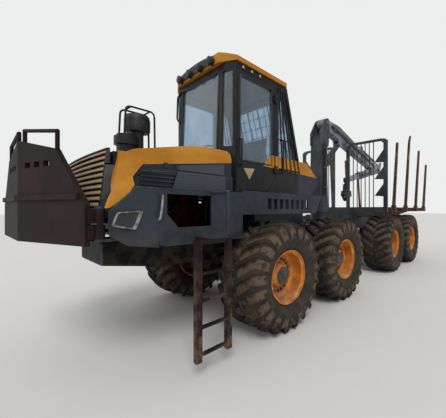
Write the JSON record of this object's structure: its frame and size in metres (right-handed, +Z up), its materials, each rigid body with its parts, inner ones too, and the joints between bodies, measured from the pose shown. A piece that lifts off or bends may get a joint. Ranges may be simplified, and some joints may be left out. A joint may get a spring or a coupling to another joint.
{
  "type": "forestry forwarder",
  "caption": "Articulated forestry forwarder with cab, hinged nose guard, loading crane, toothed headgate, bunks and stakes on bogie wheels.",
  "frame": {"origin": "middle of the machine on the ground", "axes": "+X forward, +Y to the left side, +Z up"},
  "size_m": [11.296, 2.9926, 4.0299],
  "materials": {
    "yellow_paint": "dusty semi-gloss",
    "grey_paint": "dusty satin",
    "black_paint": "worn satin",
    "guard_paint": "weathered matt",
    "orange_paint": "weathered satin",
    "tyre_rubber": "matt, dusty",
    "slat_paint": "dusty matt",
    "rusty_steel": "rusty matt",
    "crane_paint": "scuffed satin",
    "chrome_rod": "polished",
    "engine_paint": "oily matt",
    "cab_window": "clear",
    "seat_cloth": "woven"
  },
  "bodies": {
    "front": {"front_frame": "grey_paint", "front_fork": "grey_paint", "front_axle": "grey_paint", "front_bogies": "grey_paint", "engine": "engine_paint", "nose_body": "grey_paint", "grille": "slat_paint", "cab_base": "grey_paint", "cab_shell": "black_paint", "cab_roof": "yellow_paint", "cab_glass": "cab_window", "cab_guard": "black_paint", "seat": "seat_cloth", "catwalk": "grey_paint", "lamps": "black_paint"},
    "bonnet_lid": {"bonnet": "yellow_paint", "intake": "black_paint"},
    "door": {"cab_door": "black_paint", "door_glass": "cab_window"},
    "ladder": {"ladder": "guard_paint"},
    "guard": {"front_guard": "guard_paint"},
    "steer_barrel_l": {"steer_barrel_left": "black_paint"},
    "steer_rod_l": {"steer_rod_left": "chrome_rod"},
    "steer_barrel_r": {"steer_barrel_right": "black_paint"},
    "steer_rod_r": {"steer_rod_right": "chrome_rod"},
    "middle": {"middle_joint": "grey_paint"},
    "rear": {"rear_frame": "grey_paint", "rear_axle": "grey_paint", "rear_bogies": "grey_paint", "headgate": "black_paint", "bunks": "rusty_steel", "stakes": "rusty_steel"},
    "column": {"crane_column": "black_paint"},
    "boom": {"lift_boom": "crane_paint"},
    "lift_barrel": {"lift_barrel": "black_paint"},
    "lift_rod": {"lift_rod": "chrome_rod"},
    "jib": {"jib": "crane_paint"},
    "jib_barrel": {"jib_barrel": "black_paint"},
    "jib_rod": {"jib_rod": "chrome_rod"},
    "extension": {"extension": "crane_paint"},
    "hanger": {"hang_link": "black_paint"},
    "grapple": {"grapple": "black_paint"},
    "jaw_front": {"jaw_front": "crane_paint"},
    "jaw_rear": {"jaw_rear": "crane_paint"},
    "wheel_fl1": {"tyre_fl1": "tyre_rubber", "rim_fl1": "orange_paint"},
    "wheel_fl2": {"tyre_fl2": "tyre_rubber", "rim_fl2": "orange_paint"},
    "wheel_fr1": {"tyre_fr1": "tyre_rubber", "rim_fr1": "orange_paint"},
    "wheel_fr2": {"tyre_fr2": "tyre_rubber", "rim_fr2": "orange_paint"},
    "wheel_rl1": {"tyre_rl1": "tyre_rubber", "rim_rl1": "orange_paint"},
    "wheel_rl2": {"tyre_rl2": "tyre_rubber", "rim_rl2": "orange_paint"},
    "wheel_rr1": {"tyre_rr1": "tyre_rubber", "rim_rr1": "orange_paint"},
    "wheel_rr2": {"tyre_rr2": "tyre_rubber", "rim_rr2": "orange_paint"}
  },
  "joints": [
    {"name": "steer", "type": "hinge", "parent": "front", "child": "middle", "pos_m": [0.402, 0, 1.12], "axis": [0, 0, 1], "range_deg": [-42, 42]},
    {"name": "frame_roll", "type": "hinge", "parent": "middle", "child": "rear", "pos_m": [0.102, 0, 1.12], "axis": [1, 0, 0], "range_deg": [-12, 12]},
    {"name": "guard_hinge", "type": "hinge", "parent": "front", "child": "guard", "pos_m": [5.172, 1.04, 1.35], "axis": [0, 0, 1], "range_deg": [-10, 95]},
    {"name": "bonnet_hinge", "type": "hinge", "parent": "front", "child": "bonnet_lid", "pos_m": [4.342, -0.9, 2.08], "axis": [1, 0, 0], "range_deg": [0, 60]},
    {"name": "door_hinge", "type": "hinge", "parent": "front", "child": "door", "pos_m": [2.677, 0.811, 1.94], "axis": [0, 0, 1], "range_deg": [0, 85]},
    {"name": "ladder_hinge", "type": "hinge", "parent": "front", "child": "ladder", "pos_m": [4.287, 1.4, 1.335], "axis": [0, -1, 0], "range_deg": [0, 95]},
    {"name": "spin_fl1", "type": "hinge", "parent": "front", "child": "wheel_fl1", "pos_m": [3.087, 1.125, 0.74237], "axis": [0, 1, 0], "continuous": true},
    {"name": "spin_fl2", "type": "hinge", "parent": "front", "child": "wheel_fl2", "pos_m": [1.407, 1.125, 0.74237], "axis": [0, 1, 0], "continuous": true},
    {"name": "spin_fr1", "type": "hinge", "parent": "front", "child": "wheel_fr1", "pos_m": [3.087, -1.125, 0.74237], "axis": [0, 1, 0], "continuous": true},
    {"name": "spin_fr2", "type": "hinge", "parent": "front", "child": "wheel_fr2", "pos_m": [1.407, -1.125, 0.74237], "axis": [0, 1, 0], "continuous": true},
    {"name": "spin_rl1", "type": "hinge", "parent": "rear", "child": "wheel_rl1", "pos_m": [-1.458, 1.125, 0.74237], "axis": [0, 1, 0], "continuous": true},
    {"name": "spin_rl2", "type": "hinge", "parent": "rear", "child": "wheel_rl2", "pos_m": [-3.138, 1.125, 0.74237], "axis": [0, 1, 0], "continuous": true},
    {"name": "spin_rr1", "type": "hinge", "parent": "rear", "child": "wheel_rr1", "pos_m": [-1.458, -1.125, 0.74237], "axis": [0, 1, 0], "continuous": true},
    {"name": "spin_rr2", "type": "hinge", "parent": "rear", "child": "wheel_rr2", "pos_m": [-3.138, -1.125, 0.74237], "axis": [0, 1, 0], "continuous": true},
    {"name": "crane_slew", "type": "hinge", "parent": "rear", "child": "column", "pos_m": [0.027, 0, 1.59], "axis": [0, 0, 1], "range_deg": [-14, 14]},
    {"name": "boom_lift", "type": "hinge", "parent": "column", "child": "boom", "pos_m": [-0.123, 0, 3.9], "axis": [0, 1, 0], "range_deg": [0, 70]},
    {"name": "lift_barrel_swing", "type": "hinge", "parent": "column", "child": "lift_barrel", "pos_m": [-0.233, 0, 2.9], "axis": [0, 1, 0], "range_deg": [0, 32]},
    {"name": "lift_rod_slide", "type": "slide", "parent": "lift_barrel", "child": "lift_rod", "axis": [-0.7594, 0, 0.6506], "range_m": [0, 0.8254]},
    {"name": "jib_fold", "type": "hinge", "parent": "boom", "child": "jib", "pos_m": [-3.83858, 0, 3.10345], "axis": [0, 1, 0], "range_deg": [0, 49.5]},
    {"name": "jib_barrel_swing", "type": "hinge", "parent": "boom", "child": "jib_barrel", "pos_m": [-2.42535, 0, 3.66721], "axis": [0, 1, 0], "range_deg": [0, 1.97]},
    {"name": "jib_rod_slide", "type": "slide", "parent": "jib_barrel", "child": "jib_rod", "axis": [-0.9791, 0, -0.2033], "range_m": [-0.2535, 0]},
    {"name": "jib_extend", "type": "slide", "parent": "jib", "child": "extension", "axis": [0.9732, 0, -0.23], "range_m": [0, 0.735]},
    {"name": "hang_swing", "type": "hinge", "parent": "extension", "child": "hanger", "pos_m": [-1.49808, 0, 2.55018], "axis": [0, 1, 0], "range_deg": [-120, 0]},
    {"name": "grapple_turn", "type": "hinge", "parent": "hanger", "child": "grapple", "pos_m": [-1.49808, 0, 2.35018], "axis": [0, 0, 1], "continuous": true},
    {"name": "jaw_open", "type": "hinge", "parent": "grapple", "child": "jaw_front", "pos_m": [-1.41308, 0, 2.11018], "axis": [0, -1, 0], "range_deg": [0, 48]},
    {"name": "jaw_follow", "type": "hinge", "parent": "grapple", "child": "jaw_rear", "pos_m": [-1.58308, 0, 2.11018], "axis": [0, 1, 0], "range_deg": [0, 48.5]},
    {"name": "steer_barrel_swing_l", "type": "hinge", "parent": "front", "child": "steer_barrel_l", "pos_m": [0.942, 0.215, 1.12], "axis": [0, 0, 1], "range_deg": [-4.28, 4.28]},
    {"name": "steer_rod_slide_l", "type": "slide", "parent": "steer_barrel_l", "child": "steer_rod_l", "axis": [-0.9997, -0.025, 0], "range_m": [-0.1472, 0.1472]},
    {"name": "steer_barrel_swing_r", "type": "hinge", "parent": "front", "child": "steer_barrel_r", "pos_m": [0.942, -0.215, 1.12], "axis": [0, 0, 1], "range_deg": [-4.28, 4.28]},
    {"name": "steer_rod_slide_r", "type": "slide", "parent": "steer_barrel_r", "child": "steer_rod_r", "axis": [-0.9997, 0.025, 0], "range_m": [-0.1472, 0.1472]}
  ],
  "couplings": [
    {"joint": "lift_barrel_swing", "follows": "boom_lift", "ratio": 0.45},
    {"joint": "lift_rod_slide", "follows": "boom_lift", "m_per_rad": 0.67233},
    {"joint": "jib_fold", "follows": "boom_lift", "ratio": 0.7},
    {"joint": "jib_barrel_swing", "follows": "boom_lift", "ratio": 0.021},
    {"joint": "jib_rod_slide", "follows": "boom_lift", "m_per_rad": -0.2042},
    {"joint": "jib_extend", "follows": "boom_lift", "m_per_rad": 0.6},
    {"joint": "hang_swing", "follows": "boom_lift", "ratio": -1.7},
    {"joint": "jaw_follow", "follows": "jaw_open", "ratio": 1},
    {"joint": "steer_barrel_swing_l", "follows": "steer", "ratio": 0.09},
    {"joint": "steer_rod_slide_l", "follows": "steer", "m_per_rad": 0.19667},
    {"joint": "steer_barrel_swing_r", "follows": "steer", "ratio": 0.09},
    {"joint": "steer_rod_slide_r", "follows": "steer", "m_per_rad": -0.19667}
  ]
}
